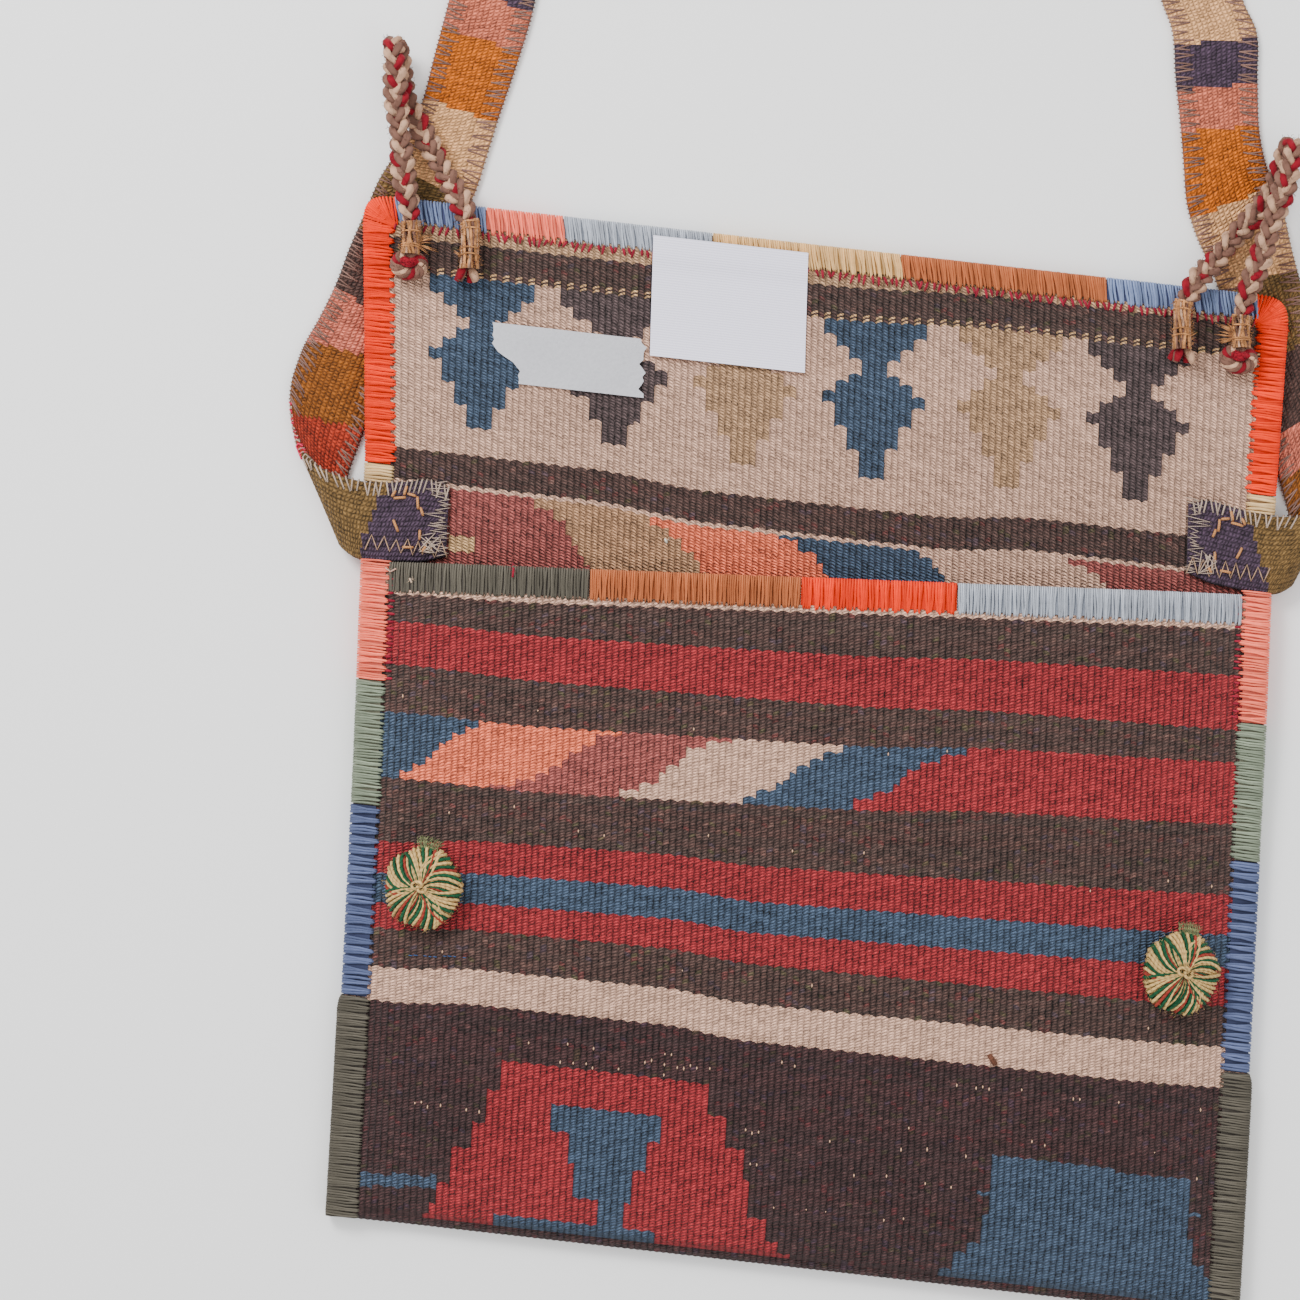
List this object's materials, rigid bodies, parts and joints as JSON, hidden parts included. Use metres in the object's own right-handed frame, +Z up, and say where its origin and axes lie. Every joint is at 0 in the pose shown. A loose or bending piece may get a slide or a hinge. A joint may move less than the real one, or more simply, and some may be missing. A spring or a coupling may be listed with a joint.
{
  "type": "kilim shoulder bag",
  "caption": "Flat handwoven kilim shoulder bag laid on its back with its flap open, wool-wrapped edges, braided closure loops, wound buttons and a folded woven strap.",
  "frame": {"origin": "middle of the flat underside of the pouch, on the surface that the bag lies on", "axes": "+Z up, +X along the bottom fold towards the right as the front is looked at, +Y up the bag over the open flap towards the shoulder strap"},
  "size_m": [0.4094, 0.6936, 0.0261],
  "materials": {
    "kilim_wool": "weft-faced handwoven wool in stripes and stepped figures, ribbed, matt",
    "strap_wool": "narrow handwoven wool band in coloured blocks, overcast edges",
    "wrap_grey_green": "wool yarn wrapped closely over the edge, soft sheen",
    "wrap_blue": "wool yarn wrapped closely over the edge, soft sheen",
    "wrap_sage": "wool yarn wrapped closely over the edge, soft sheen",
    "wrap_salmon": "wool yarn wrapped closely over the edge, soft sheen",
    "wrap_cream": "wool yarn wrapped closely over the edge, soft sheen",
    "wrap_orange": "wool yarn wrapped closely over the edge, soft sheen",
    "wrap_pale_blue": "wool yarn wrapped closely over the edge, soft sheen",
    "wrap_gold": "wool yarn wrapped closely over the edge, soft sheen",
    "wrap_caramel": "wool yarn wrapped closely over the edge, soft sheen",
    "braid_wool": "three-strand wool braid in taupe, cream and crimson",
    "whipping_wool": "tan yarn wound tight",
    "button_wool": "yarn wound radially over a core",
    "stitch_thread": "doubled cotton thread",
    "label_cloth": "blank white woven cloth with a fine rib",
    "tape_paper": "blank crepe paper tape, slightly see-through"
  },
  "bodies": {
    "root": {"kilim_body": "kilim_wool", "strap": "strap_wool", "binding_left_grey_green": "wrap_grey_green", "binding_left_blue": "wrap_blue", "binding_left_sage": "wrap_sage", "binding_left_salmon": "wrap_salmon", "binding_left_cream": "wrap_cream", "binding_left_orange": "wrap_orange", "binding_right_grey_green": "wrap_grey_green", "binding_right_blue": "wrap_blue", "binding_right_sage": "wrap_sage", "binding_right_salmon": "wrap_salmon", "binding_right_cream": "wrap_cream", "binding_right_orange": "wrap_orange", "binding_top_1_blue": "wrap_blue", "binding_top_2_salmon": "wrap_salmon", "binding_top_3_pale_blue": "wrap_pale_blue", "binding_top_4_gold": "wrap_gold", "binding_top_5_caramel": "wrap_caramel", "binding_top_6_blue": "wrap_blue", "binding_mouth_1_grey_green": "wrap_grey_green", "binding_mouth_2_caramel": "wrap_caramel", "binding_mouth_3_orange": "wrap_orange", "binding_mouth_4_pale_blue": "wrap_pale_blue", "strap_stitching_left": "stitch_thread", "loop_left_cord": "braid_wool", "loop_left_knot": "braid_wool", "loop_left_strand_ends": "braid_wool", "loop_left_whipping_short": "whipping_wool", "loop_left_whipping_long": "whipping_wool", "button_left": "button_wool", "button_left_knot": "button_wool", "button_left_stalk": "whipping_wool", "strap_stitching_right": "stitch_thread", "loop_right_cord": "braid_wool", "loop_right_knot": "braid_wool", "loop_right_strand_ends": "braid_wool", "loop_right_whipping_short": "whipping_wool", "loop_right_whipping_long": "whipping_wool", "button_right": "button_wool", "button_right_knot": "button_wool", "button_right_stalk": "whipping_wool", "label": "label_cloth", "tape_strip": "tape_paper"}
  },
  "joints": []
}
